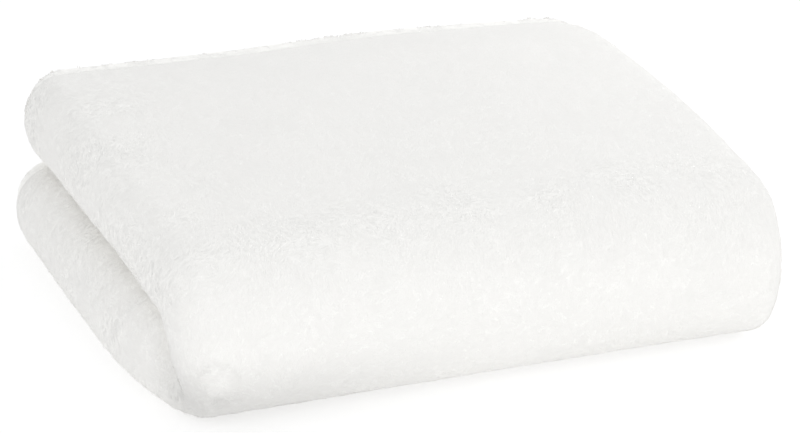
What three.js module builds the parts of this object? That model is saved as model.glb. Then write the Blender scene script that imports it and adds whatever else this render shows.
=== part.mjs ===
// A plush fleece blanket, folded to sixteen plies and lying flat.
// The cloth is halved, folded in half twice to a strip whose left end is one rounded fold,
// and folded once more over its front, so two lobes with a valley between them show at the left.
// Millimetres, +Z up, -Y is the front, the origin is at the middle of the resting side.
import * as THREE from 'three';

const STRIP_LENGTH = 390;
const PACK_DEPTH = 338;
const PLY_PITCH = 6.7;
const PLY_GAP = 0.8;
const PLIES_IN_STRIP = 8;

// The nose is the broad front fold: how deep it is, and how square its round is.
const NOSE_DEPTH = 62;
const NOSE_FULLNESS = 2.23;

// How far the free side edges and the hems stand in from their folds.
const FREE_EDGE_LOWER = 12;
const FREE_EDGE_INNER = 16;
const HEM_SETBACK = 2;
const HEM_WAVE = 0.3;
const RIM_SHARE = 0.3;

const END_REACH = 117;
const BACK_CORNER_REACH = 32;
const BACK_CORNER_LEFT = 7;
const BACK_CORNER_RIGHT = 5;
const CROWN_POWER = 2.5;
const VALLEY_AT_NOSE = 1;
const VALLEY_AT_BACK = 1.8;
const VALLEY_OPENS_OVER = 80;

// Heights from front to back, as shares of the depth, and how much the two ends fall.
const HEIGHTS = [
  { share: 0, middle: 52.5, top: 101.5, leftFall: 0.07, rightFall: 0.11 },
  { share: 0.2, middle: 53.5, top: 106.5, leftFall: 0.05, rightFall: 0.08 },
  { share: 0.42, middle: 59, top: 113, leftFall: 0.04, rightFall: 0.07 },
  { share: 0.65, middle: 60, top: 116, leftFall: 0.03, rightFall: 0.06 },
  { share: 0.85, middle: 57.5, top: 116, leftFall: 0.01, rightFall: 0.05 },
  { share: 1, middle: 52.5, top: 111, leftFall: -0.02, rightFall: 0.06 },
];

// The path runs 0 to 1 along the lower arm, 1 to 2 round the nose, 2 to 3 along the upper arm.
// Each end of the strip stands off by these amounts along X.
const ENDS = [
  { path: 0, left: 3, right: -2.5 },
  { path: 0.5, left: 0, right: 0 },
  { path: 0.9, left: 1.5, right: -4 },
  { path: 1.15, left: 10, right: -6 },
  { path: 1.35, left: 10, right: -8 },
  { path: 1.6, left: 11, right: -6 },
  { path: 2, left: 12, right: 2 },
  { path: 2.5, left: 9.5, right: 5.5 },
  { path: 3, left: 11, right: 4 },
];

// Creases across the left end, from the valley (share 0) to the outside (share 1).
// One with a depth under nothing is a ridge.
const LEFT_CREASES = [
  { path: 1.16, lean: -0.13, inner: -0.1, outer: 1.15, depth: 12, width: 0.14 },
  { path: 1.06, lean: 0, inner: 0.5, outer: 1.5, depth: -6, width: 0.15 },
  { path: 0.83, lean: 0, inner: -0.1, outer: 0.75, depth: 3, width: 0.05 },
];

// Where the mesh has its lines: along each length of a layer, and along the path.
const LINE_SHARES = [0, 0.05, 0.18, 0.55, 0.85];
const LOWER_ARM_PLACES = [0, 0.05, 0.14, 0.36, 0.6, 0.78, 0.9];
const NOSE_PLACES = [1, 1.07, 1.12, 1.17, 1.22, 1.28, 1.36, 1.46, 1.56, 1.66, 1.77, 1.88];
const UPPER_ARM_PLACES = [2, 2.14, 2.38, 2.62, 2.84, 2.94, 3];
const LEFT_FOLD_STEPS = 8;
const INNER_FOLD_STEPS = 8;
const RIGHT_FOLD_STEPS = 5;
const CLOSED_END_STEPS = 4;

const pairPitch = 2 * PLY_PITCH;
const plyThickness = PLY_PITCH - PLY_GAP;
const stripThickness = PLIES_IN_STRIP * PLY_PITCH;
const leftFoldX = stripThickness / 2;
const rightFoldX = STRIP_LENGTH - pairPitch;
const armLength = PACK_DEPTH - NOSE_DEPTH;

const clamp01 = (value) => Math.min(Math.max(value, 0), 1);

const smooth = (from, to, at) => {
  const share = clamp01((at - from) / (to - from));
  return share * share * (3 - 2 * share);
};

// A smooth curve through one column of a table, level at both ends.
function through(rows, key, column, at) {
  const last = rows.length - 1;
  const place = Math.min(Math.max(at, rows[0][key]), rows[last][key]);
  let index = 0;
  while (index < last - 1 && rows[index + 1][key] < place) {
    index += 1;
  }
  const rise = (n) => (rows[n + 1][column] - rows[n][column]) / (rows[n + 1][key] - rows[n][key]);
  const slope = (n) => (n === 0 || n === last ? 0 : (rise(n - 1) + rise(n)) / 2);
  const span = rows[index + 1][key] - rows[index][key];
  const share = (place - rows[index][key]) / span;
  const rest = 1 - share;
  return (
    (1 + 2 * share) * rest * rest * rows[index][column] +
    share * rest * rest * span * slope(index) +
    share * share * (3 - 2 * share) * rows[index + 1][column] -
    share * share * rest * span * slope(index + 1)
  );
}

const height = (column, y) => through(HEIGHTS, 'share', column, y / PACK_DEPTH);

// The strip's inner and outer points at a place on the path, as (y, z).
function stripEdges(path) {
  if (path < 1 || path > 2) {
    const isLower = path < 1;
    const y = NOSE_DEPTH + armLength * (isLower ? 1 - path : path - 2);
    const opening = smooth(NOSE_DEPTH, NOSE_DEPTH + VALLEY_OPENS_OVER, y);
    const halfValley = (VALLEY_AT_NOSE + (VALLEY_AT_BACK - VALLEY_AT_NOSE) * opening) / 2;
    const middle = height('middle', y);
    return {
      inner: [y, isLower ? middle - halfValley : middle + halfValley],
      outer: [y, isLower ? 0 : height('top', y)],
    };
  }
  const turn = Math.PI * (path - 1);
  const reach = Math.abs(Math.sin(turn)) ** (2 / NOSE_FULLNESS);
  const drop = Math.sign(Math.cos(turn)) * Math.abs(Math.cos(turn)) ** (2 / NOSE_FULLNESS);
  const middle = height('middle', NOSE_DEPTH);
  const above = height('top', NOSE_DEPTH) - middle;
  return {
    inner: [
      NOSE_DEPTH - (VALLEY_AT_NOSE / 2) * Math.sin(turn),
      middle - (VALLEY_AT_NOSE / 2) * Math.cos(turn),
    ],
    outer: [NOSE_DEPTH * (1 - reach), middle - drop * (drop > 0 ? middle : above)],
  };
}

// A rounded corner in plan: how far an end is drawn in near the back.
function cornerInset(amount, y) {
  const share = clamp01(1 + (y - PACK_DEPTH) / BACK_CORNER_REACH);
  return amount * share * share;
}

// How far a crease presses the left end in.
function creaseDepth(crease, path, share) {
  const middle = (crease.inner + crease.outer) / 2;
  const along = (share - middle) / ((crease.outer - crease.inner) / 2);
  const across = (path - crease.path - crease.lean * (share - middle)) / crease.width;
  const profile = Math.exp(1 - Math.sqrt(1 + across * across));
  return crease.depth * profile * (1 - smooth(0.45, 1, Math.abs(along)));
}

// From the strip (x along it, e through its thickness, path round the nose) to the folded pack.
function placeOnPack(x, e, path) {
  const { inner, outer } = stripEdges(path);
  const share = (e - PLY_GAP / 2) / (stripThickness - PLY_GAP);
  const y = inner[0] + share * (outer[0] - inner[0]);
  const z = inner[1] + share * (outer[1] - inner[1]);
  const nearLeft = 1 - smooth(0, END_REACH, x);
  const nearRight = smooth(STRIP_LENGTH - END_REACH, STRIP_LENGTH, x);
  let leftShift = through(ENDS, 'path', 'left', path) + cornerInset(BACK_CORNER_LEFT, y);
  for (const crease of LEFT_CREASES) {
    leftShift += creaseDepth(crease, path, share);
  }
  const rightShift = through(ENDS, 'path', 'right', path) - cornerInset(BACK_CORNER_RIGHT, y);
  const fromMiddle = (2 * x) / STRIP_LENGTH - 1;
  const fall = height(fromMiddle < 0 ? 'leftFall' : 'rightFall', y);
  const crown = 1 - fall * clamp01(Math.abs(fromMiddle)) ** CROWN_POWER;
  return new THREE.Vector3(x + nearLeft * leftShift + nearRight * rightShift, y, z * crown);
}

// One line of the doubled cloth, with the direction in which its first layer lies off it.
const sectionPoint = (x, e, offX, offE) => ({ x, e, offX, offE });

// Lines across a straight length of a layer, closest at its left end.
function straight(fromX, toX, e) {
  const goesLeft = toX < fromX;
  const shares = goesLeft
    ? [0, ...LINE_SHARES.slice(1).reverse().map((share) => 1 - share)]
    : LINE_SHARES;
  return shares.map((share) => sectionPoint(fromX + (toX - fromX) * share, e, 0, goesLeft ? 1 : -1));
}

function turning(centreX, centreE, radius, from, to, steps, sign) {
  const points = [];
  for (let step = 0; step < steps; step += 1) {
    const angle = from + ((to - from) * step) / steps;
    const cos = Math.cos(angle);
    const sin = Math.sin(angle);
    points.push(sectionPoint(centreX + radius * cos, centreE + radius * sin, sign * cos, sign * sin));
  }
  return points;
}

// The way of the doubled cloth through the strip, from one side edge to the other.
function sectionWay() {
  const up = Math.PI / 2;
  const centre = 2 * pairPitch;
  return [
    ...straight(STRIP_LENGTH - FREE_EDGE_LOWER, leftFoldX, 0.5 * pairPitch),
    ...turning(leftFoldX, centre, 1.5 * pairPitch, 3 * up, up, LEFT_FOLD_STEPS, -1),
    ...straight(leftFoldX, rightFoldX, 3.5 * pairPitch),
    ...turning(rightFoldX, 3 * pairPitch, 0.5 * pairPitch, up, -up, RIGHT_FOLD_STEPS, -1),
    ...straight(rightFoldX, leftFoldX, 2.5 * pairPitch),
    ...turning(leftFoldX, centre, 0.5 * pairPitch, up, 3 * up, INNER_FOLD_STEPS, 1),
    ...straight(leftFoldX, STRIP_LENGTH - FREE_EDGE_INNER, 1.5 * pairPitch),
    sectionPoint(STRIP_LENGTH - FREE_EDGE_INNER, 1.5 * pairPitch, 0, -1),
  ];
}

// The way across the cloth: first layer, round the closed end at the lower back, second layer.
function acrossWay() {
  const places = [...LOWER_ARM_PLACES, ...NOSE_PLACES, ...UPPER_ARM_PLACES];
  const first = [...places].reverse().map((path) => ({ path, side: 1, past: 0 }));
  const second = places.map((path) => ({ path, side: -1, past: 0 }));
  const closed = [];
  for (let step = 1; step < CLOSED_END_STEPS; step += 1) {
    const angle = (Math.PI * step) / CLOSED_END_STEPS;
    closed.push({ path: 0, side: Math.cos(angle), past: Math.sin(angle) });
  }
  return [...first, ...closed, ...second];
}

// The hems don't lie quite even: each layer ends a little short of the deepest one.
function besideHem(path, row, side) {
  const setback = HEM_SETBACK * (1 + Math.cos(row * HEM_WAVE) * side);
  return path - (clamp01(path - 2) * setback) / armLength;
}

function buildCloth() {
  const rows = sectionWay();
  const columns = acrossWay();
  const positions = [];
  const indices = [];
  const addVertex = (row, column, outward) => {
    const line = rows[row];
    const place = columns[column];
    const radius = PLY_PITCH / 2 + outward;
    const off = radius * place.side;
    const path = besideHem(place.path, row, place.side) - (radius * place.past) / armLength;
    positions.push(placeOnPack(line.x + line.offX * off, line.e + line.offE * off, path));
    return positions.length - 1;
  };
  const face = (outward) => rows.map((_, r) => columns.map((__, c) => addVertex(r, c, outward)));
  const outer = face(plyThickness / 2);
  const inner = face(-plyThickness / 2);
  const quad = (a, b, c, d) => indices.push(a, c, b, a, d, c);
  for (let r = 0; r < rows.length - 1; r += 1) {
    for (let c = 0; c < columns.length - 1; c += 1) {
      quad(outer[r][c], outer[r][c + 1], outer[r + 1][c + 1], outer[r + 1][c]);
      quad(inner[r][c], inner[r + 1][c], inner[r + 1][c + 1], inner[r][c + 1]);
    }
  }
  // The four edges of the cloth are turned hems with a rounded rim.
  const lastRow = rows.length - 1;
  const lastColumn = columns.length - 1;
  const rim = [];
  for (let c = 0; c < lastColumn; c += 1) rim.push([0, c, 1, c]);
  for (let r = 0; r < lastRow; r += 1) rim.push([r, lastColumn, r, lastColumn - 1]);
  for (let c = lastColumn; c > 0; c -= 1) rim.push([lastRow, c, lastRow - 1, c]);
  for (let r = lastRow; r > 0; r -= 1) rim.push([r, 0, r, 1]);
  const edge = rim.map(([row, column, backRow, backColumn]) => {
    const middle = (r, c) => positions[outer[r][c]].clone().add(positions[inner[r][c]]).multiplyScalar(0.5);
    const here = middle(row, column);
    const outward = here.clone().sub(middle(backRow, backColumn)).setLength(plyThickness * RIM_SHARE);
    positions.push(here.add(outward));
    return positions.length - 1;
  });
  rim.forEach(([row, column], n) => {
    const next = (n + 1) % rim.length;
    const [nextRow, nextColumn] = rim[next];
    quad(outer[nextRow][nextColumn], outer[row][column], edge[n], edge[next]);
    quad(edge[next], edge[n], inner[row][column], inner[nextRow][nextColumn]);
  });
  const geometry = new THREE.BufferGeometry();
  geometry.setAttribute('position', new THREE.Float32BufferAttribute(positions.flatMap((p) => p.toArray()), 3));
  geometry.setIndex(indices);
  geometry.computeBoundingBox();
  const box = geometry.boundingBox;
  geometry.translate(-(box.min.x + box.max.x) / 2, -(box.min.y + box.max.y) / 2, -box.min.z);
  geometry.computeVertexNormals();
  return geometry;
}

const fleece = new THREE.MeshStandardMaterial({ color: 0xf4f3f0, roughness: 0.95, metalness: 0 });
const blanket = new THREE.Mesh(buildCloth(), fleece);
blanket.name = 'blanket';

const part = new THREE.Group();
part.add(blanket);

export default part;
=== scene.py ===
import itertools
import math

import bpy
import numpy as np
from mathutils import Matrix, Vector
from mathutils.bvhtree import BVHTree


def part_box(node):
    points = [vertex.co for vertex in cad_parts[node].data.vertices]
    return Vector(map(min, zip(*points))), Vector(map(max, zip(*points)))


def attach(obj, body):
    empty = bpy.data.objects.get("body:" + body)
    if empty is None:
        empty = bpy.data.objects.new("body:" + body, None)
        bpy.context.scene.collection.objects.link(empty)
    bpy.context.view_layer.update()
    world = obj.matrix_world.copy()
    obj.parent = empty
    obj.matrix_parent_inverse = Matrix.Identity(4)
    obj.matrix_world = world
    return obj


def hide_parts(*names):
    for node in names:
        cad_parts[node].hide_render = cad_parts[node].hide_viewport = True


bl_info = {
    "name": "Folded fleece blanket",
    "version": (1, 0, 0),
    "blender": (4, 5, 0),
    "location": "View3D > Sidebar > Blanket",
    "description": "A plush fleece blanket folded to sixteen plies, on a studio stage",
    "category": "Object",
}

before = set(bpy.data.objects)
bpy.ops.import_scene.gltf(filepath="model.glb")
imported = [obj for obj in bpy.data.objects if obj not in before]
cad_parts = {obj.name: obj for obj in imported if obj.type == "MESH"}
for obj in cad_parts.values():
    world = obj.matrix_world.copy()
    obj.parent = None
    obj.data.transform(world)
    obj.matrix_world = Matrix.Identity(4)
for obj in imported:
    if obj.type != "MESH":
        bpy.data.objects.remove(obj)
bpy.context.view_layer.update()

# Sizes in the tables are millimetres. The path runs 0 to 1 along the lower arm, 1 to 2 round
# the nose, which is the broad front fold, and 2 to 3 along the upper arm.
MM = 0.001
PLIES_IN_STRIP = 8
NOSE_FULLNESS = 2.23
FREE_EDGE_LOWER = 12
FREE_EDGE_INNER = 16
HEM_SETBACK = 2
END_REACH = 117
BACK_CORNER_REACH = 32
BACK_CORNER_LEFT = 7
BACK_CORNER_RIGHT = 5
CROWN_POWER = 2.5
VALLEY_AT_NOSE = 1
VALLEY_AT_BACK = 1.8
VALLEY_OPENS_OVER = 80

HEIGHTS = {
    "share": (0, 0.2, 0.42, 0.65, 0.85, 1),
    "middle": (52.5, 53.5, 59, 60, 57.5, 52.5),
    "top": (101.5, 106.5, 113, 116, 116, 111),
    "left_fall": (0.07, 0.05, 0.04, 0.03, 0.01, -0.02),
    "right_fall": (0.11, 0.08, 0.07, 0.06, 0.05, 0.06),
}
ENDS = {
    "path": (0, 0.5, 0.9, 1.15, 1.35, 1.6, 2, 2.5, 3),
    "left": (3, 0, 1.5, 10, 10, 11, 12, 9.5, 11),
    "right": (-2.5, 0, -4, -6, -8, -6, 2, 5.5, 4),
}
# A crease with a negative depth is a ridge. Each fades from this share of its length outwards.
CREASE_FADES_FROM = 0.45
LEFT_CREASES = (
    {"path": 1.16, "lean": -0.13, "inner": -0.1, "outer": 1.15, "depth": 12, "width": 0.14},
    {"path": 1.06, "lean": 0, "inner": 0.5, "outer": 1.5, "depth": -6, "width": 0.15},
    {"path": 0.83, "lean": 0, "inner": -0.1, "outer": 0.75, "depth": 3, "width": 0.05},
)

# The plies lie a little loose, in two waves: length along x and along y, share and start.
LOOSENESS = 0.004
LOOSE_WAVES = ((47, 39, 1, 0), (23, -31, 0.7, 2))

# The cloth's grid: steps along the straight plies, round the turns and along runs of the path,
# closest where the left end is creased.
LINE_STEPS, LEFT_STEPS, INNER_STEPS, RIGHT_STEPS = 18, 28, 12, 14
PATH_RUNS = ((0, 1, 26), (1, 1.36, 30), (1.36, 2, 26), (2, 3, 28))
CLOSED_END_STEPS = 9

# The rows over which the thinning under the pile ends, the rim's share of a ply, the hems' wave
# from row to row, and the room that each side of the cloth takes in the bake's square.
THINNING_ROWS = 4
RIM_SHARE = 0.3
HEM_WAVE = 0.11
SIDE_LAYOUT = (0.49, 0.96)

# A face carries pile where there is free room over it and the blanket doesn't lie on it.
FREE_ROOM = 7
FREE_ROOM_STARTS = 0.3
RESTING_SLOPE = -0.6
RESTING_HEIGHT = 5

# Smooth random vectors come from a table of them, in which a cell's place finds its own.
TABLE_LENGTH = 4096
TABLE_STRIDES = (73856093, 19349663, 83492791)

# The pile is brushed towards the front and down, and stirred by hands at three scales:
# the size, the share and the seed of each.
BRUSHED = (-0.35, -0.7, -0.45)
STIRRED = ((34, 0.8, 1), (9, 0.7, 2), (3, 0.8, 3))

# The size and the seed of the locks' unevenness and of the ruffled patches.
UNEVEN = (5, 4)
PATCHY = (26, 6)
LOCKS_SEED = 11
PILE_PIECES = 4

# A lock's four corners are its foot, ridge, foot and tip.
FOOT_DEPTH = 0.4
RIDGE_SHARE = 0.18
FLOOR_CLEARANCE = 0.15
LOCK_SIDES = (-1, 0, 1, 0)
# Each lock's feet are painted a little darker and its tip a little paler: painted shade at the
# root, painted light at the tip.
LOCK_TONES = (0.97, 1, 0.97, 1.01)
LOCK_LAYOUT = ((0.1, 0.1), (0.5, 0.1), (0.9, 0.1), (0.5, 0.9))

# How the locks differ, as shares: a drift changes from place to place, a spread from lock to lock.
LENGTH_DRIFT = 0.35
LENGTH_SPREAD = 0.2
WIDTH_RANGE = (0.7, 1.3)
LEAN_DRIFT = 0.4
TONE_DRIFT = 0.01
TONE_SPREAD = 0.022
WHORL_TONE_SPREAD = 0.02
TILT_SPREAD = 0.35

# Smooth pile has the first value of each pair, and ruffled pile has up to the second more.
LEAN = (0.4, 0.8)
ROUNDNESS = (0.08, 0.2)
RUFFLING = (0.12, 0.75)

# How far the front face calms the left end's ruffling, the share of it at the foot, and what
# the ruffled patches start from and how far they drift.
FRONT_CALMS = 0.85
FOOT_RUFFLING = 0.6
PATCHINESS = (0.6, 0.8)

# Places on the pile, in the blanket's own frame: a whorl low on the front at its left end with a
# ring of painted shade round it, the patch of painted shade under it, the crest over the front
# fold, the hem at the back with its seam, and the crease on the lower lobe.
WHORL_PLACE = (-165, -170, 38.5)
WHORL_RADIUS = 10
WHORL_CALMS = 0.5
WHORL_TURNS = 0.7
RING_RADIUS = 11.5
RING_WIDTH = 2
SHADED_PATCH = (-163, -166, 25)
PATCH_RADIUS = 7
CREST_Y = -128
CREST_WIDTH = 34
HEM_WIDTH = 18
HEM_RISES_OVER = 3
HEM_TURN = (0, -0.35, 0)
SEAM_WIDTH = 1.2
CREASE_Y = -67
CREASE_Z = 45
CREASE_LEAN = 0.55
CREASE_WIDTH = 4

# Regions of the pile: each axis, where the region starts on it and where it is whole.
CREST_TOP = ((2, 70, 92),)
LEFT_END = ((0, -95, -165),)
FRONT_FACE = ((1, -128, -152), (2, 92, 74))
FRONT_FOOT = ((1, -90, -130), (2, 34, 12))
LOW_FRONT = ((0, 20, -190), (1, -100, -140), (2, 58, 18))
LOWER_LOBE = ((0, -160, -172), (2, 58, 50), (2, 14, 26))
OVER_WHORL = ((2, 34.5, 42.5),)

# How much painted shade darkens the pile at these places and painted highlight lightens the hem, as
# a share of its tone. The whorl is spared part of the painted shade.
PATCH_SHADE = 0.07
LOW_FRONT_SHADE = 0.2
WHORL_SPARES_SHADE = 0.4
CREASE_SHADE = 0.05
BESIDE_CREASE = 0.6
RING_SHADE = 0.05
SEAM_SHADE = 0.05
HEM_PAINTED_HIGHLIGHT = 0.035
# The ground between the locks is painted a little darker, as shade among the pile.
GROUND_TONE = 0.96

# Scale and detail of the noise in the colour, the roughness and the ground's bump.
BROAD_NOISE = (28, 2)
FINE_NOISE = (420, 3)
GROUND_NOISE = (900, 4)

# Each light's size, azimuth, elevation and distance, in metres and degrees.
LIGHTS = {
    "key": (1.2, 9, 28, 1.7),
    "fill": (0.5, -70, 27, 1.3),
    "rim": (0.7, 140, 10, 1.5),
    "side": (0.35, 110, 30, 0.8),
}
LIGHTS_FACE = (0, 0, 0.05)
CAMERA_LENS = 154.9
CAMERA_VIEW = (-21.37, 21.75, 2.091)
CAMERA_FACES = (0, 0, 0.054)
CAMERA_SHIFT = (0.0075, -0.0036, 0)
ROOM_COLOUR = (0.985, 0.992, 1, 1)
FLOOR_REACH = 4


class BlanketSizes(bpy.types.PropertyGroup):
    strip_length: bpy.props.FloatProperty(
        name="Strip length", description="From the lobed left end to the right end",
        default=0.39, unit="LENGTH")
    pack_depth: bpy.props.FloatProperty(
        name="Pack depth", description="From the front fold to the hems at the back",
        default=0.338, unit="LENGTH")
    nose_depth: bpy.props.FloatProperty(
        name="Front fold depth", description="How far back the rounded front fold reaches",
        default=0.062, unit="LENGTH")
    ply_pitch: bpy.props.FloatProperty(
        name="Ply pitch", description="From one ply to the next in the folded strip",
        default=0.0067, unit="LENGTH")
    ply_gap: bpy.props.FloatProperty(
        name="Ply gap", description="Free room between two plies",
        default=0.0008, unit="LENGTH")
    cloth_width: bpy.props.FloatProperty(
        name="Cloth width", description="One side of the opened blanket",
        default=1.5, unit="LENGTH")
    cloth_length: bpy.props.FloatProperty(
        name="Cloth length", description="The other side of the opened blanket",
        default=1.4, unit="LENGTH")


class BlanketPile(bpy.types.PropertyGroup):
    depth: bpy.props.FloatProperty(
        name="Pile depth", description="How far the ground of the cloth lies under the pile's tips",
        default=0.0007, unit="LENGTH")
    locks: bpy.props.IntProperty(
        name="Locks", description="How many small locks of pile stand on the open surfaces",
        default=300000)
    length: bpy.props.FloatProperty(
        name="Lock length", description="Length of a lock of pile", default=0.0038, unit="LENGTH")
    width: bpy.props.FloatProperty(
        name="Lock width", description="Width of a lock of pile", default=0.0013, unit="LENGTH")
    lean: bpy.props.FloatProperty(
        name="Lean", description="How far the locks rise off the cloth",
        default=math.radians(8), subtype="ANGLE")


class BlanketLook(bpy.types.PropertyGroup):
    fleece: bpy.props.FloatVectorProperty(
        name="Fleece", description="Colour of the pile", subtype="COLOR",
        default=(0.965, 0.955, 0.93))
    floor: bpy.props.FloatVectorProperty(
        name="Floor", description="Colour of the studio floor", subtype="COLOR",
        default=(0.6, 0.6, 0.6))
    floor_glow: bpy.props.FloatProperty(
        name="Floor glow", description="Light that the floor gives, as a light table does",
        default=0.455)
    key: bpy.props.FloatProperty(
        name="Key light", description="Strength of the large front light",
        default=4.6, unit="POWER")
    fill: bpy.props.FloatProperty(
        name="Fill light", description="Strength of the soft light from the left",
        default=0.8, unit="POWER")
    rim: bpy.props.FloatProperty(
        name="Rim light", description="Strength of the light behind",
        default=2, unit="POWER")
    side: bpy.props.FloatProperty(
        name="Side light", description="Strength of the near light on the right",
        default=0.8, unit="POWER")
    sky: bpy.props.FloatProperty(
        name="Room light", description="Strength of the even light all round",
        default=0.867)


def smooth(start, end, at):
    share = np.clip((at - start) / (end - start), 0, 1)
    return share * share * (3 - 2 * share)


def through(table, key, column, at):
    """A smooth curve through one column of a table, level at both ends."""
    places, values = (np.array(table[name], float) for name in (key, column))
    rise = np.diff(values) / np.diff(places)
    slopes = np.concatenate([[0], (rise[1:] + rise[:-1]) / 2, [0]])
    at = np.clip(at, places[0], places[-1])
    index = np.clip(np.searchsorted(places, at) - 1, 0, len(places) - 2)
    span = places[index + 1] - places[index]
    share = (at - places[index]) / span
    rest = 1 - share
    return (
        (1 + 2 * share) * rest * rest * values[index]
        + share * rest * rest * span * slopes[index]
        + share * share * (3 - 2 * share) * values[index + 1]
        - share * share * rest * span * slopes[index + 1]
    )


class Pack:
    """The folded form: from the strip's own coordinates to places in the pack, in millimetres."""

    def __init__(self, sizes):
        self.strip_length = sizes.strip_length / MM
        self.depth = sizes.pack_depth / MM
        self.nose = sizes.nose_depth / MM
        self.pitch = sizes.ply_pitch / MM
        self.gap = sizes.ply_gap / MM
        self.pair = 2 * self.pitch
        self.thickness = PLIES_IN_STRIP * self.pitch
        self.arm = self.depth - self.nose

    def height(self, column, y):
        return through(HEIGHTS, "share", column, y / self.depth)

    def strip_edges(self, path):
        """The strip's inner and outer points at places on the path, as y and z of each."""
        arm_y = self.nose + self.arm * np.maximum(np.maximum(1 - path, path - 2), 0)
        opening = smooth(self.nose, self.nose + VALLEY_OPENS_OVER, arm_y)
        half_valley = (VALLEY_AT_NOSE + (VALLEY_AT_BACK - VALLEY_AT_NOSE) * opening) / 2
        middle = self.height("middle", arm_y)
        top = self.height("top", arm_y)
        turn = math.pi * np.clip(path - 1, 0, 1)
        reach = np.abs(np.sin(turn)) ** (2 / NOSE_FULLNESS)
        drop = np.sign(np.cos(turn)) * np.abs(np.cos(turn)) ** (2 / NOSE_FULLNESS)
        on_nose = (path >= 1) & (path <= 2)
        inner_y = np.where(on_nose, self.nose - VALLEY_AT_NOSE / 2 * np.sin(turn), arm_y)
        inner_z = middle - half_valley * np.cos(turn)
        outer_y = np.where(on_nose, self.nose * (1 - reach), arm_y)
        outer_z = middle - drop * np.where(drop > 0, middle, top - middle)
        return inner_y, inner_z, outer_y, outer_z

    def corner_inset(self, amount, y):
        share = np.clip(1 + (y - self.depth) / BACK_CORNER_REACH, 0, None)
        return amount * np.minimum(share, 1) ** 2

    def crease_depth(self, crease, path, share):
        middle = (crease["inner"] + crease["outer"]) / 2
        along = np.abs(share - middle) / ((crease["outer"] - crease["inner"]) / 2)
        across = (path - crease["path"] - crease["lean"] * (share - middle)) / crease["width"]
        profile = np.exp(1 - np.sqrt(1 + across * across))
        return crease["depth"] * profile * (1 - smooth(CREASE_FADES_FROM, 1, along))

    def place(self, x, e, path):
        """x runs along the strip, e through its thickness and path round the front fold."""
        inner_y, inner_z, outer_y, outer_z = self.strip_edges(path)
        share = (e - self.gap / 2) / (self.thickness - self.gap)
        y = inner_y + share * (outer_y - inner_y)
        z = inner_z + share * (outer_z - inner_z)
        near_left = 1 - smooth(0, END_REACH, x)
        near_right = smooth(self.strip_length - END_REACH, self.strip_length, x)
        left = through(ENDS, "path", "left", path) + self.corner_inset(BACK_CORNER_LEFT, y)
        left = left + sum(self.crease_depth(crease, path, share) for crease in LEFT_CREASES)
        right = through(ENDS, "path", "right", path) - self.corner_inset(BACK_CORNER_RIGHT, y)
        from_middle = 2 * x / self.strip_length - 1
        fall = np.where(from_middle < 0, self.height("left_fall", y), self.height("right_fall", y))
        crown = 1 - fall * np.clip(np.abs(from_middle), 0, 1) ** CROWN_POWER
        waves = sum(part * np.sin(x / along_x + y / along_y + start)
                    for along_x, along_y, part, start in LOOSE_WAVES)
        loose = 1 + LOOSENESS * waves
        return np.stack([x + near_left * left + near_right * right, y, z * crown * loose], -1)

    def section_way(self, line_steps, left_steps, inner_steps, right_steps):
        """The doubled cloth's way through the strip, and how many of its lines lie outermost.

        Each line has x, e and the direction in which the first layer lies off it."""
        left, right = self.thickness / 2, self.strip_length - self.pair
        centre, pair, up = 2 * self.pair, self.pair, math.pi / 2
        points = []

        def straight(start, end, e):
            for share in np.linspace(0, 1, line_steps, endpoint=False):
                points.append((start + (end - start) * share, e, 0, 1 if end < start else -1))

        def turning(x, e, radius, start, end, steps, sign):
            for angle in np.linspace(start, end, steps, endpoint=False):
                cos, sin = math.cos(angle), math.sin(angle)
                points.append((x + radius * cos, e + radius * sin, sign * cos, sign * sin))

        straight(self.strip_length - FREE_EDGE_LOWER, left, 0.5 * pair)
        turning(left, centre, 1.5 * pair, 3 * up, up, left_steps, -1)
        straight(left, right, 3.5 * pair)
        turning(right, 3 * pair, 0.5 * pair, up, -up, right_steps, -1)
        shown = len(points)
        straight(right, left, 2.5 * pair)
        turning(left, centre, 0.5 * pair, up, 3 * up, inner_steps, 1)
        straight(left, self.strip_length - FREE_EDGE_INNER, 1.5 * pair)
        points.append((self.strip_length - FREE_EDGE_INNER, 1.5 * pair, 0, -1))
        return np.array(points), shown

    def across_way(self, places, closed_steps):
        """Across the cloth: first layer, round the closed end at the lower back, second layer."""
        angles = math.pi * np.arange(1, closed_steps) / closed_steps
        path = np.concatenate([places[::-1], np.zeros(closed_steps - 1), places])
        ones = np.ones(len(places))
        side = np.concatenate([ones, np.cos(angles), -ones])
        past = np.concatenate([0 * ones, np.sin(angles), 0 * ones])
        return path, side, past


def cloth_grids(pack, pile_depth):
    """The two faces of the cloth as grids of points, one row for each line across it."""
    way, shown = pack.section_way(LINE_STEPS, LEFT_STEPS, INNER_STEPS, RIGHT_STEPS)
    runs = [np.linspace(*run, endpoint=False) for run in PATH_RUNS]
    places = np.concatenate([*runs, [PATH_RUNS[-1][1]]])
    path, side, past = pack.across_way(places, CLOSED_END_STEPS)
    rows = np.arange(len(way))
    # The outermost ply is thinned by the pile that stands on it.
    outermost = 1 - smooth(shown - THINNING_ROWS, shown, rows)
    faces = []
    half = (pack.pitch - pack.gap) / 2
    for sign in (1, -1):
        trim = pile_depth * outermost[:, None] * (1 - side[None, :]) / 2 if sign > 0 else 0
        radius = pack.pitch / 2 + sign * half - trim + 0 * rows[:, None]
        off = radius * side[None, :]
        x = way[:, 0, None] + way[:, 2, None] * off
        e = way[:, 1, None] + way[:, 3, None] * off
        wave = 1 + np.cos(rows * HEM_WAVE)[:, None] * side[None, :]
        setback = np.clip(path - 2, 0, 1)[None, :] * HEM_SETBACK * wave / pack.arm
        along = path[None, :] - setback - radius * past[None, :] / pack.arm
        faces.append(pack.place(x, e, along))
    return faces


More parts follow.
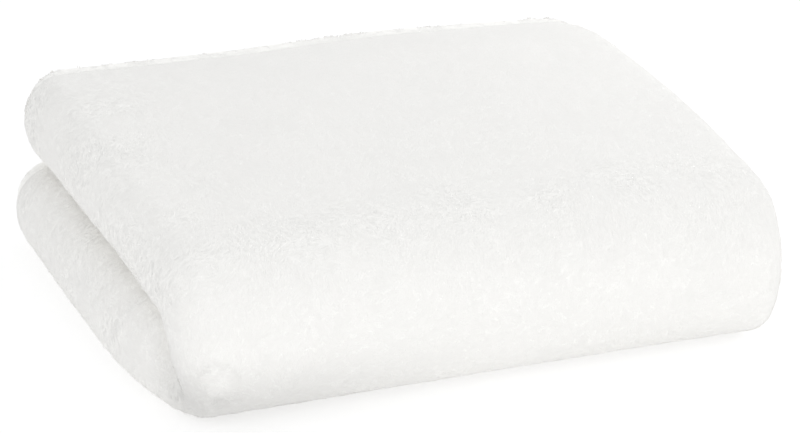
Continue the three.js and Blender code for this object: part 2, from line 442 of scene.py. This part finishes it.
def build_cloth(pack, pile_depth):
    outer, inner = cloth_grids(pack, pile_depth)
    rows, columns = outer.shape[:2]
    count = rows * columns
    number = np.arange(count).reshape(rows, columns)

    def quads(a, flip):
        corners = [a[:-1, :-1], a[1:, :-1], a[1:, 1:], a[:-1, 1:]]
        return np.stack(corners[::-1] if flip else corners, -1).reshape(-1, 4)

    # The rim of the turned hems, a little proud of the cloth's edge.
    middle = (outer + inner) / 2
    ring = [(0, c, 1, c) for c in range(columns - 1)]
    ring += [(r, columns - 1, r, columns - 2) for r in range(rows - 1)]
    ring += [(rows - 1, c, rows - 2, c) for c in range(columns - 1, 0, -1)]
    ring += [(r, 0, r, 1) for r in range(rows - 1, 0, -1)]
    ring = np.array(ring)
    here = middle[ring[:, 0], ring[:, 1]]
    outward = here - middle[ring[:, 2], ring[:, 3]]
    outward /= np.linalg.norm(outward, axis=1, keepdims=True)
    rim = here + outward * (pack.pitch - pack.gap) * RIM_SHARE
    edge = 2 * count + np.arange(len(ring))
    top = number[ring[:, 0], ring[:, 1]]
    following = np.roll(np.arange(len(ring)), -1)
    sides = [
        np.stack([top, top[following], edge[following], edge], -1),
        np.stack([edge, edge[following], top[following] + count, top + count], -1),
    ]
    points = np.concatenate([outer.reshape(-1, 3), inner.reshape(-1, 3), rim])
    faces = np.concatenate([quads(number, False), quads(number + count, True), *sides])

    u, w = np.meshgrid(np.linspace(0, 1, rows), np.linspace(0, 1, columns), indexing="ij")
    flat = np.stack([u, w], -1).reshape(-1, 2)
    side = flat * SIDE_LAYOUT
    layout = np.concatenate([side, side + (0.5, 0), np.zeros((len(ring), 2))])
    layout[2 * count:] = layout[top]
    return points, faces, layout


def vertex_normals(points, faces):
    a, b, c, d = (points[faces[:, k]] for k in range(4))
    normal = np.cross(c - a, d - b)
    total = np.zeros_like(points)
    for k in range(4):
        np.add.at(total, faces[:, k], normal)
    return total / np.maximum(np.linalg.norm(total, axis=1, keepdims=True), 1e-12)


def drift(points, size, seed):
    """Smooth random vectors through space: a lattice of them, blended between its corners."""
    table = np.random.default_rng(seed).uniform(-1, 1, (TABLE_LENGTH, 3))
    cell = np.floor(points / size).astype(np.int64)
    share = points / size - cell
    share = share * share * (3 - 2 * share)
    total = np.zeros_like(points)
    for corner in itertools.product((0, 1), repeat=3):
        index = (cell + corner) @ np.array(TABLE_STRIDES) % TABLE_LENGTH
        total += table[index] * np.prod(np.where(corner, share, 1 - share), axis=1)[:, None]
    return total


def unit(vectors):
    return vectors / np.maximum(np.linalg.norm(vectors, axis=1, keepdims=True), 1e-12)


def across(vectors, normals):
    """The part of each vector that lies in the surface."""
    return vectors - normals * np.sum(vectors * normals, axis=1, keepdims=True)


def open_faces(points, faces):
    """Which faces have open air over them, apart from those that the blanket lies on."""
    tree = BVHTree.FromPolygons(points.tolist(), faces.tolist())
    centre = points[faces].mean(axis=1)
    a, b, c, d = (points[faces[:, k]] for k in range(4))
    normal = unit(np.cross(c - a, d - b))
    is_open = np.empty(len(faces), bool)
    for k, (place, way) in enumerate(zip(centre, normal)):
        start = Vector(place + way * FREE_ROOM_STARTS)
        is_open[k] = tree.ray_cast(start, Vector(way), FREE_ROOM)[0] is None
    resting = (normal[:, 2] < RESTING_SLOPE) & (centre[:, 2] < RESTING_HEIGHT)
    return is_open & ~resting


def make_mesh(name, points, faces, layout, material, normals=None, tones=None):
    mesh = bpy.data.meshes.new(name)
    sides = faces.shape[1]
    mesh.vertices.add(len(points))
    mesh.vertices.foreach_set("co", points.astype(np.float32).ravel())
    mesh.loops.add(faces.size)
    mesh.loops.foreach_set("vertex_index", faces.astype(np.int32).ravel())
    mesh.polygons.add(len(faces))
    mesh.polygons.foreach_set("loop_start", np.arange(0, faces.size, sides, dtype=np.int32))
    mesh.update(calc_edges=True)
    mesh.polygons.foreach_set("use_smooth", np.ones(len(faces), bool))
    layer = mesh.uv_layers.new(name="OFBake")
    layer.uv.foreach_set("vector", layout[faces.ravel()].astype(np.float32).ravel())
    if tones is not None:
        tone = mesh.attributes.new("tone", "FLOAT", "POINT")
        tone.data.foreach_set("value", tones.astype(np.float32))
    if normals is not None:
        mesh.normals_split_custom_set_from_vertices(normals.astype(np.float32))
    mesh.materials.append(material)
    piece = bpy.data.objects.new(name, mesh)
    bpy.context.scene.collection.objects.link(piece)
    return piece


class Shade:
    """A shader value: sums, products and the like of values add Math nodes."""

    def __init__(self, tree, socket):
        self.tree, self.socket = tree, socket

    def node(self, kind, settings=None, **sockets):
        made = self.tree.nodes.new(kind)
        for name, value in (settings or {}).items():
            setattr(made, name, value)
        for name, value in sockets.items():
            key = name.replace("_", " ")
            numbered = key[0] == "n" and key[1:].isdigit()
            socket = made.inputs[int(key[1:]) if numbered else key]
            if isinstance(value, Shade):
                self.tree.links.new(value.socket, socket)
            else:
                socket.default_value = value
        return made

    def maths(self, operation, first, second):
        made = self.node("ShaderNodeMath", {"operation": operation}, n0=first, n1=second)
        return Shade(self.tree, made.outputs[0])

    def __add__(self, other):
        return self.maths("ADD", self, other)

    __radd__ = __add__

    def __mul__(self, other):
        return self.maths("MULTIPLY", self, other)

    __rmul__ = __mul__

    def noise(self, scale, detail):
        place = self.node("ShaderNodeNewGeometry").outputs["Position"]
        spot = Shade(self.tree, place)
        made = self.node("ShaderNodeTexNoise", Vector=spot, Scale=scale, Detail=detail)
        return Shade(self.tree, made.outputs["Fac"])


def fleece_material(name, colour, locks):
    material = bpy.data.materials.new(name)
    material.use_nodes = True
    tree = material.node_tree
    shader = tree.nodes["Principled BSDF"]
    shader.inputs["Specular IOR Level"].default_value = 0.15
    shader.inputs["Sheen Weight"].default_value = 0.25
    shader.inputs["Sheen Roughness"].default_value = 0.5
    start = Shade(tree, None)
    broad, fine = start.noise(*BROAD_NOISE), start.noise(*FINE_NOISE)
    tone = 0.97 + 0.03 * broad + 0.03 * fine
    # The tone attribute carries painted shade and light along with the pile's uneven tone.
    placed = start.node("ShaderNodeAttribute", {"attribute_name": "tone"}).outputs["Fac"]
    tone = tone * Shade(tree, placed)
    if not locks:
        # Painted shade: the ground between the locks is a little darker, as shade among the pile.
        tone = tone * GROUND_TONE
        height = fine + 0.6 * start.noise(*GROUND_NOISE)
        bump = start.node("ShaderNodeBump", Strength=0.6, Distance=0.0012, Height=height)
        tree.links.new(bump.outputs["Normal"], shader.inputs["Normal"])
    paint = start.node("ShaderNodeMix", {"data_type": "RGBA", "blend_type": "MULTIPLY"})
    paint.inputs["Factor"].default_value = 1
    grey = start.node("ShaderNodeCombineColor", Red=tone, Green=tone, Blue=tone)
    colours = [socket for socket in paint.inputs if socket.type == "RGBA"]
    colours[0].default_value = (*colour, 1)
    tree.links.new(grey.outputs["Color"], colours[1])
    result = [socket for socket in paint.outputs if socket.type == "RGBA"][0]
    tree.links.new(result, shader.inputs["Base Color"])
    roughness = 0.86 + 0.12 * broad
    tree.links.new(roughness.socket, shader.inputs["Roughness"])
    return material


class BLANKET_OT_cloth(bpy.types.Operator):
    """Build the folded cloth as one sheet with its turned hems"""

    bl_idname = "blanket.cloth"
    bl_label = "Folded cloth"

    def execute(self, context):
        scene = context.scene
        pack = Pack(scene.blanket_sizes)
        points, faces, layout = build_cloth(pack, scene.blanket_pile.depth / MM)
        low, high = (np.array(corner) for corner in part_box("blanket"))
        lowest, highest = points.min(axis=0) * MM, points.max(axis=0) * MM
        shift = (low + high - lowest - highest) / 2
        shift[2] = low[2] - lowest[2]
        material = fleece_material("fleece_ground", scene.blanket_look.fleece, False)
        points = points + shift / MM
        # The cloth's tone carries the painted shade and light.
        tones = painted_shade_and_light(points, points[:, 1].max())
        piece = make_mesh("fleece_cloth", points * MM, faces, layout, material, tones=tones)
        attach(piece, "root")
        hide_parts("blanket")
        return {"FINISHED"}


class BLANKET_OT_pile(bpy.types.Operator):
    """Stand small leaning locks of pile on every open face of the cloth"""

    bl_idname = "blanket.pile"
    bl_label = "Pile"

    def execute(self, context):
        scene = context.scene
        sizes, pile = scene.blanket_sizes, scene.blanket_pile
        cloth = bpy.data.objects["fleece_cloth"]
        mesh = cloth.data
        points = np.empty(len(mesh.vertices) * 3, np.float32)
        mesh.vertices.foreach_get("co", points)
        points = points.reshape(-1, 3).astype(float) / MM
        faces = np.empty(len(mesh.loops), np.int32)
        mesh.loops.foreach_get("vertex_index", faces)
        faces = faces.reshape(-1, 4)
        shown = faces[open_faces(points, faces)]
        normals = vertex_normals(points, faces)
        material = fleece_material("fleece_pile", scene.blanket_look.fleece, True)
        locks = grow_locks(points, shown, normals, pile)
        pieces = []
        share = math.ceil(pile.locks / PILE_PIECES)
        for part in range(PILE_PIECES):
            chosen = slice(part * share, (part + 1) * share)
            some = {key: values[chosen] for key, values in locks.items()}
            pieces.append(lock_piece(f"pile_{part + 1}", some, material))
        for piece in pieces:
            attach(piece, "root")
            # Light passes through fine fibres, so they don't darken each other.
            piece.visible_shadow = False
            piece.visible_diffuse = False
        return {"FINISHED"}


def grow_locks(points, faces, normals, pile):
    """Roots, directions and sizes of the locks, spread evenly over the open faces."""
    rng = np.random.default_rng(LOCKS_SEED)
    a, b, c, d = (points[faces[:, k]] for k in range(4))
    area = np.linalg.norm(np.cross(c - a, d - b), axis=1) / 2
    chosen = rng.choice(len(faces), pile.locks, p=area / area.sum())
    s, t = rng.random((2, pile.locks, 1))
    weights = ((1 - s) * (1 - t), s * (1 - t), s * t, (1 - s) * t)
    corners = faces[chosen]
    root = sum(w * points[corners[:, k]] for k, w in enumerate(weights))
    normal = unit(sum(w * normals[corners[:, k]] for k, w in enumerate(weights)))
    way = np.array(BRUSHED)
    for size, part, seed in STIRRED:
        way = way + part * drift(root, size, seed)
    way = unit(across(way, normal))
    stir = drift(root, *UNEVEN)
    ruffled = ruffle(root)
    uneven = LENGTH_DRIFT * stir[:, :1] + LENGTH_SPREAD * rng.uniform(-1, 1, (pile.locks, 1))
    length = pile.length / MM * (1 + uneven)
    width = pile.width / MM * rng.uniform(*WIDTH_RANGE, (pile.locks, 1))
    lean = pile.lean * (LEAN[0] + LEAN[1] * ruffled) * (1 + LEAN_DRIFT * stir[:, 1:2])
    # Round the whorl the pile stands out from its middle.
    whorl = whorl_share(root)
    from_whorl = unit(root - WHORL_PLACE)
    way = way * (1 - WHORL_CALMS * whorl) + WHORL_TURNS * whorl * from_whorl
    way = unit(across(way, normal))
    hem_end = points[:, 1].max()
    on_hem = smooth(0, HEM_RISES_OVER, root[:, 1:2] - hem_end + HEM_WIDTH)

    spread = rng.uniform(-1, 1, (pile.locks, 3))
    tone = 1 + ruffled * (TONE_DRIFT * stir[:, 2:3] + TONE_SPREAD * spread[:, :1])
    tone = tone + WHORL_TONE_SPREAD * whorl * spread[:, :1]
    # The locks take the same painted shade and light as the cloth under them.
    tone = tone * painted_shade_and_light(root, hem_end)[:, None]
    forward, sideways = TILT_SPREAD * spread[:, 1:2] * way, TILT_SPREAD * spread[:, 2:]
    tilt = ruffled * (forward + sideways * np.cross(normal, way))
    return {"root": root, "normal": normal, "way": way, "length": length, "width": width,
            "lean": lean * (1 + whorl), "round": ROUNDNESS[0] + ROUNDNESS[1] * ruffled,
            "tone": tone, "facing": unit(normal + tilt + on_hem * np.array(HEM_TURN))}


def bell(at, middle, width):
    """A smooth bump, which is 1 at its middle."""
    return np.exp(-(((at - middle) / width) ** 2))


def within(points, region):
    """The share of a region at each point."""
    return math.prod(smooth(start, whole, points[:, axis]) for axis, start, whole in region)


def whorl_share(points):
    far = np.linalg.norm(points - WHORL_PLACE, axis=1, keepdims=True) / WHORL_RADIUS
    return np.exp(-(far ** 4))


def ruffle(root):
    """How ruffled the pile is: most along the crest, at the left end and low on the front."""
    crest = bell(root[:, 1], CREST_Y, CREST_WIDTH) * within(root, CREST_TOP)
    left = within(root, LEFT_END) * (1 - FRONT_CALMS * within(root, FRONT_FACE))
    foot = FOOT_RUFFLING * within(root, FRONT_FOOT)
    patches = PATCHINESS[0] + PATCHINESS[1] * drift(root, *PATCHY)[:, 0]
    most = np.maximum(np.maximum(crest, left), foot)
    return (RUFFLING[0] + RUFFLING[1] * np.clip(most * patches, 0, 1))[:, None]


def painted_shade_and_light(points, hem_end):
    """Painted shade and light at places on the cloth: painted shade low on the front, by the whorl,
    in the crease and along the seam, and a painted highlight on the hem.
    """
    y, z = points[:, 1], points[:, 2]
    patch = bell(np.linalg.norm(points - SHADED_PATCH, axis=1), 0, PATCH_RADIUS)
    past_crease = y - CREASE_Y + CREASE_LEAN * (z - CREASE_Z)
    beside = bell(past_crease, -2 * CREASE_WIDTH, CREASE_WIDTH)
    crease = bell(past_crease, 0, CREASE_WIDTH) - BESIDE_CREASE * beside
    from_whorl = np.linalg.norm(points - WHORL_PLACE, axis=1)
    ring = bell(from_whorl, RING_RADIUS, RING_WIDTH) * within(points, OVER_WHORL)
    # Painted shade: low on the front and in a patch under the whorl, partly spared on the whorl, in
    # the lower lobe's crease with a painted highlight beside it, and in a ring round the whorl.
    shade = PATCH_SHADE * patch + LOW_FRONT_SHADE * within(points, LOW_FRONT)
    shade = shade * (1 - WHORL_SPARES_SHADE * whorl_share(points)[:, 0])
    shade = shade + CREASE_SHADE * crease * within(points, LOWER_LOBE) + RING_SHADE * ring
    # The hem at the back is painted as a low roll behind a shallow seam: a painted highlight on the
    # roll and painted shade along the seam.
    past_seam = y - hem_end + HEM_WIDTH
    painted_highlight = HEM_PAINTED_HIGHLIGHT * smooth(0, HEM_RISES_OVER, past_seam)
    return (1 - shade) * (1 + painted_highlight - SEAM_SHADE * bell(past_seam, 0, SEAM_WIDTH))


def lock_piece(name, locks, material):
    """One mesh of many locks: a low ridge for each, narrowing from its foot to its tip."""
    root, normal, way = locks["root"], locks["normal"], locks["way"]
    length, lean = locks["length"], locks["lean"]
    sideways = np.cross(normal, way)
    half = sideways * locks["width"] / 2
    foot = root - normal * FOOT_DEPTH
    ridge = foot + normal * (FOOT_DEPTH + RIDGE_SHARE * locks["width"])
    tip = root + way * length * np.cos(lean) + normal * length * np.sin(lean)
    count = len(root)
    points = np.stack([foot - half, ridge, foot + half, tip], 1)
    points[..., 2] = np.maximum(points[..., 2], FLOOR_CLEARANCE)
    start = 4 * np.arange(count)[:, None]
    faces = np.concatenate([start + (0, 3, 1), start + (1, 3, 2)])
    round_off = np.array(LOCK_SIDES)[None, :, None] * (locks["round"] * sideways)[:, None]
    shading = unit((locks["facing"][:, None] + round_off).reshape(-1, 3))
    tones = (locks["tone"] * np.array(LOCK_TONES)).ravel()
    cells = math.ceil(math.sqrt(count))
    cell = np.stack([np.arange(count) % cells, np.arange(count) // cells], -1)[:, None, :]
    layout = ((cell + np.array(LOCK_LAYOUT)) / cells).reshape(-1, 2)
    return make_mesh(name, points.reshape(-1, 3) * MM, faces, layout, material, shading, tones)


def look_from(azimuth, elevation, distance, target):
    """A camera's or light's place and turn, facing the target. Azimuth 0 is the front."""
    a, e = math.radians(azimuth), math.radians(elevation)
    back = Vector((math.sin(a) * math.cos(e), -math.cos(a) * math.cos(e), math.sin(e)))
    turn = back.to_track_quat("Z", "Y").to_matrix().to_4x4()
    return Matrix.Translation(Vector(target) + back * distance) @ turn


def add_light(name, watts):
    size, *place = LIGHTS[name]
    data = bpy.data.lights.new(name, "AREA")
    data.energy, data.size = watts, size
    light = bpy.data.objects.new(name, data)
    light.matrix_world = look_from(*place, LIGHTS_FACE)
    bpy.context.scene.collection.objects.link(light)


class BLANKET_OT_stage(bpy.types.Operator):
    """Set the camera, the pale floor and the soft studio light"""

    bl_idname = "blanket.stage"
    bl_label = "Studio stage"

    def execute(self, context):
        scene = context.scene
        look = scene.blanket_look
        data = bpy.data.cameras.new("camera")
        data.lens = CAMERA_LENS
        camera = bpy.data.objects.new("camera", data)
        view = look_from(*CAMERA_VIEW, CAMERA_FACES)
        camera.matrix_world = view @ Matrix.Translation(CAMERA_SHIFT)
        scene.collection.objects.link(camera)
        scene.camera = camera

        points = FLOOR_REACH * np.array([(-1, -1, 0), (1, -1, 0), (1, 1, 0), (-1, 1, 0)], float)
        paint = bpy.data.materials.new("floor")
        paint.use_nodes = True
        shader = paint.node_tree.nodes["Principled BSDF"]
        shader.inputs["Base Color"].default_value = (*look.floor, 1)
        shader.inputs["Emission Color"].default_value = (1, 1, 1, 1)
        shader.inputs["Emission Strength"].default_value = look.floor_glow
        shader.inputs["Roughness"].default_value = 0.9
        shader.inputs["Specular IOR Level"].default_value = 0.1
        layout = points[:, :2] / (2 * FLOOR_REACH) + 0.5
        make_mesh("floor", points, np.array([[0, 1, 2, 3]]), layout, paint)

        world = bpy.data.worlds.new("room")
        world.use_nodes = True
        sky = world.node_tree.nodes["Background"]
        sky.inputs["Color"].default_value = ROOM_COLOUR
        sky.inputs["Strength"].default_value = look.sky
        scene.world = world
        for name in LIGHTS:
            add_light(name, getattr(look, name))
        scene.view_settings.view_transform = "Standard"
        return {"FINISHED"}


class BLANKET_PT_panel(bpy.types.Panel):
    """Sizes, colours and steps of the folded blanket"""

    bl_label = "Blanket"
    bl_idname = "BLANKET_PT_panel"
    bl_space_type = "VIEW_3D"
    bl_region_type = "UI"
    bl_category = "Blanket"

    def draw(self, context):
        for group in ("blanket_sizes", "blanket_pile", "blanket_look"):
            box = self.layout.box()
            for name in getattr(context.scene, group).__annotations__:
                box.prop(getattr(context.scene, group), name)
        for operator in (BLANKET_OT_stage, BLANKET_OT_cloth, BLANKET_OT_pile):
            self.layout.operator(operator.bl_idname)


CLASSES = (
    BlanketSizes, BlanketPile, BlanketLook,
    BLANKET_OT_stage, BLANKET_OT_cloth, BLANKET_OT_pile, BLANKET_PT_panel,
)


def register():
    for each in CLASSES:
        bpy.utils.register_class(each)
    bpy.types.Scene.blanket_sizes = bpy.props.PointerProperty(type=BlanketSizes)
    bpy.types.Scene.blanket_pile = bpy.props.PointerProperty(type=BlanketPile)
    bpy.types.Scene.blanket_look = bpy.props.PointerProperty(type=BlanketLook)


def unregister():
    del bpy.types.Scene.blanket_look
    del bpy.types.Scene.blanket_pile
    del bpy.types.Scene.blanket_sizes
    for each in reversed(CLASSES):
        bpy.utils.unregister_class(each)


def main():
    register()
    bpy.ops.blanket.stage()
    bpy.ops.blanket.cloth()
    bpy.ops.blanket.pile()


if __name__ == "__main__":
    main()
